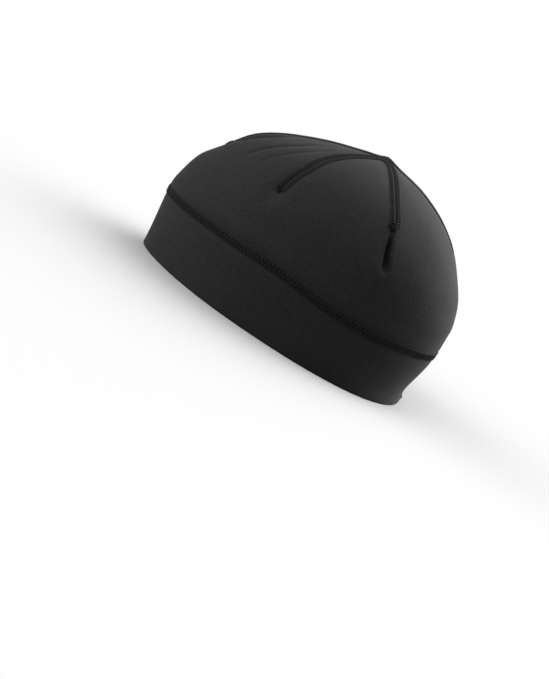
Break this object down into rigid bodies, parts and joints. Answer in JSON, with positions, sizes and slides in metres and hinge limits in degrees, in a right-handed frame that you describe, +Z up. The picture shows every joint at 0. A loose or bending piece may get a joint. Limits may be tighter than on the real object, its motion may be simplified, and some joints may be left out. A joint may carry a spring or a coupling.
{
  "type": "beanie",
  "caption": "Close-fitting skull cap of thin stretch jersey, with a darted dome, a folded band and flat stitched seams; covers the head from forehead to nape.",
  "frame": {"origin": "middle of the bounding box, on the plane that the rim rests on", "axes": "+Z up from the rim to the apex, -Y towards the forehead, +Y towards the nape, +X towards the wearer's left"},
  "size_m": [0.1618, 0.1974, 0.1259],
  "materials": {
    "crown_jersey": "black brushed stretch jersey, one layer, with a faint sheen",
    "band_jersey": "black stretch jersey, folded double at the rim",
    "seam_thread": "black thread of a flat cover stitch"
  },
  "bodies": {
    "root": {"crown": "crown_jersey", "band": "band_jersey", "band_seam": "seam_thread", "crown_seam_centre": "seam_thread", "crown_seam_front_left": "seam_thread", "crown_seam_back_left": "seam_thread", "crown_seam_back_right": "seam_thread", "crown_seam_front_right": "seam_thread"}
  },
  "joints": []
}
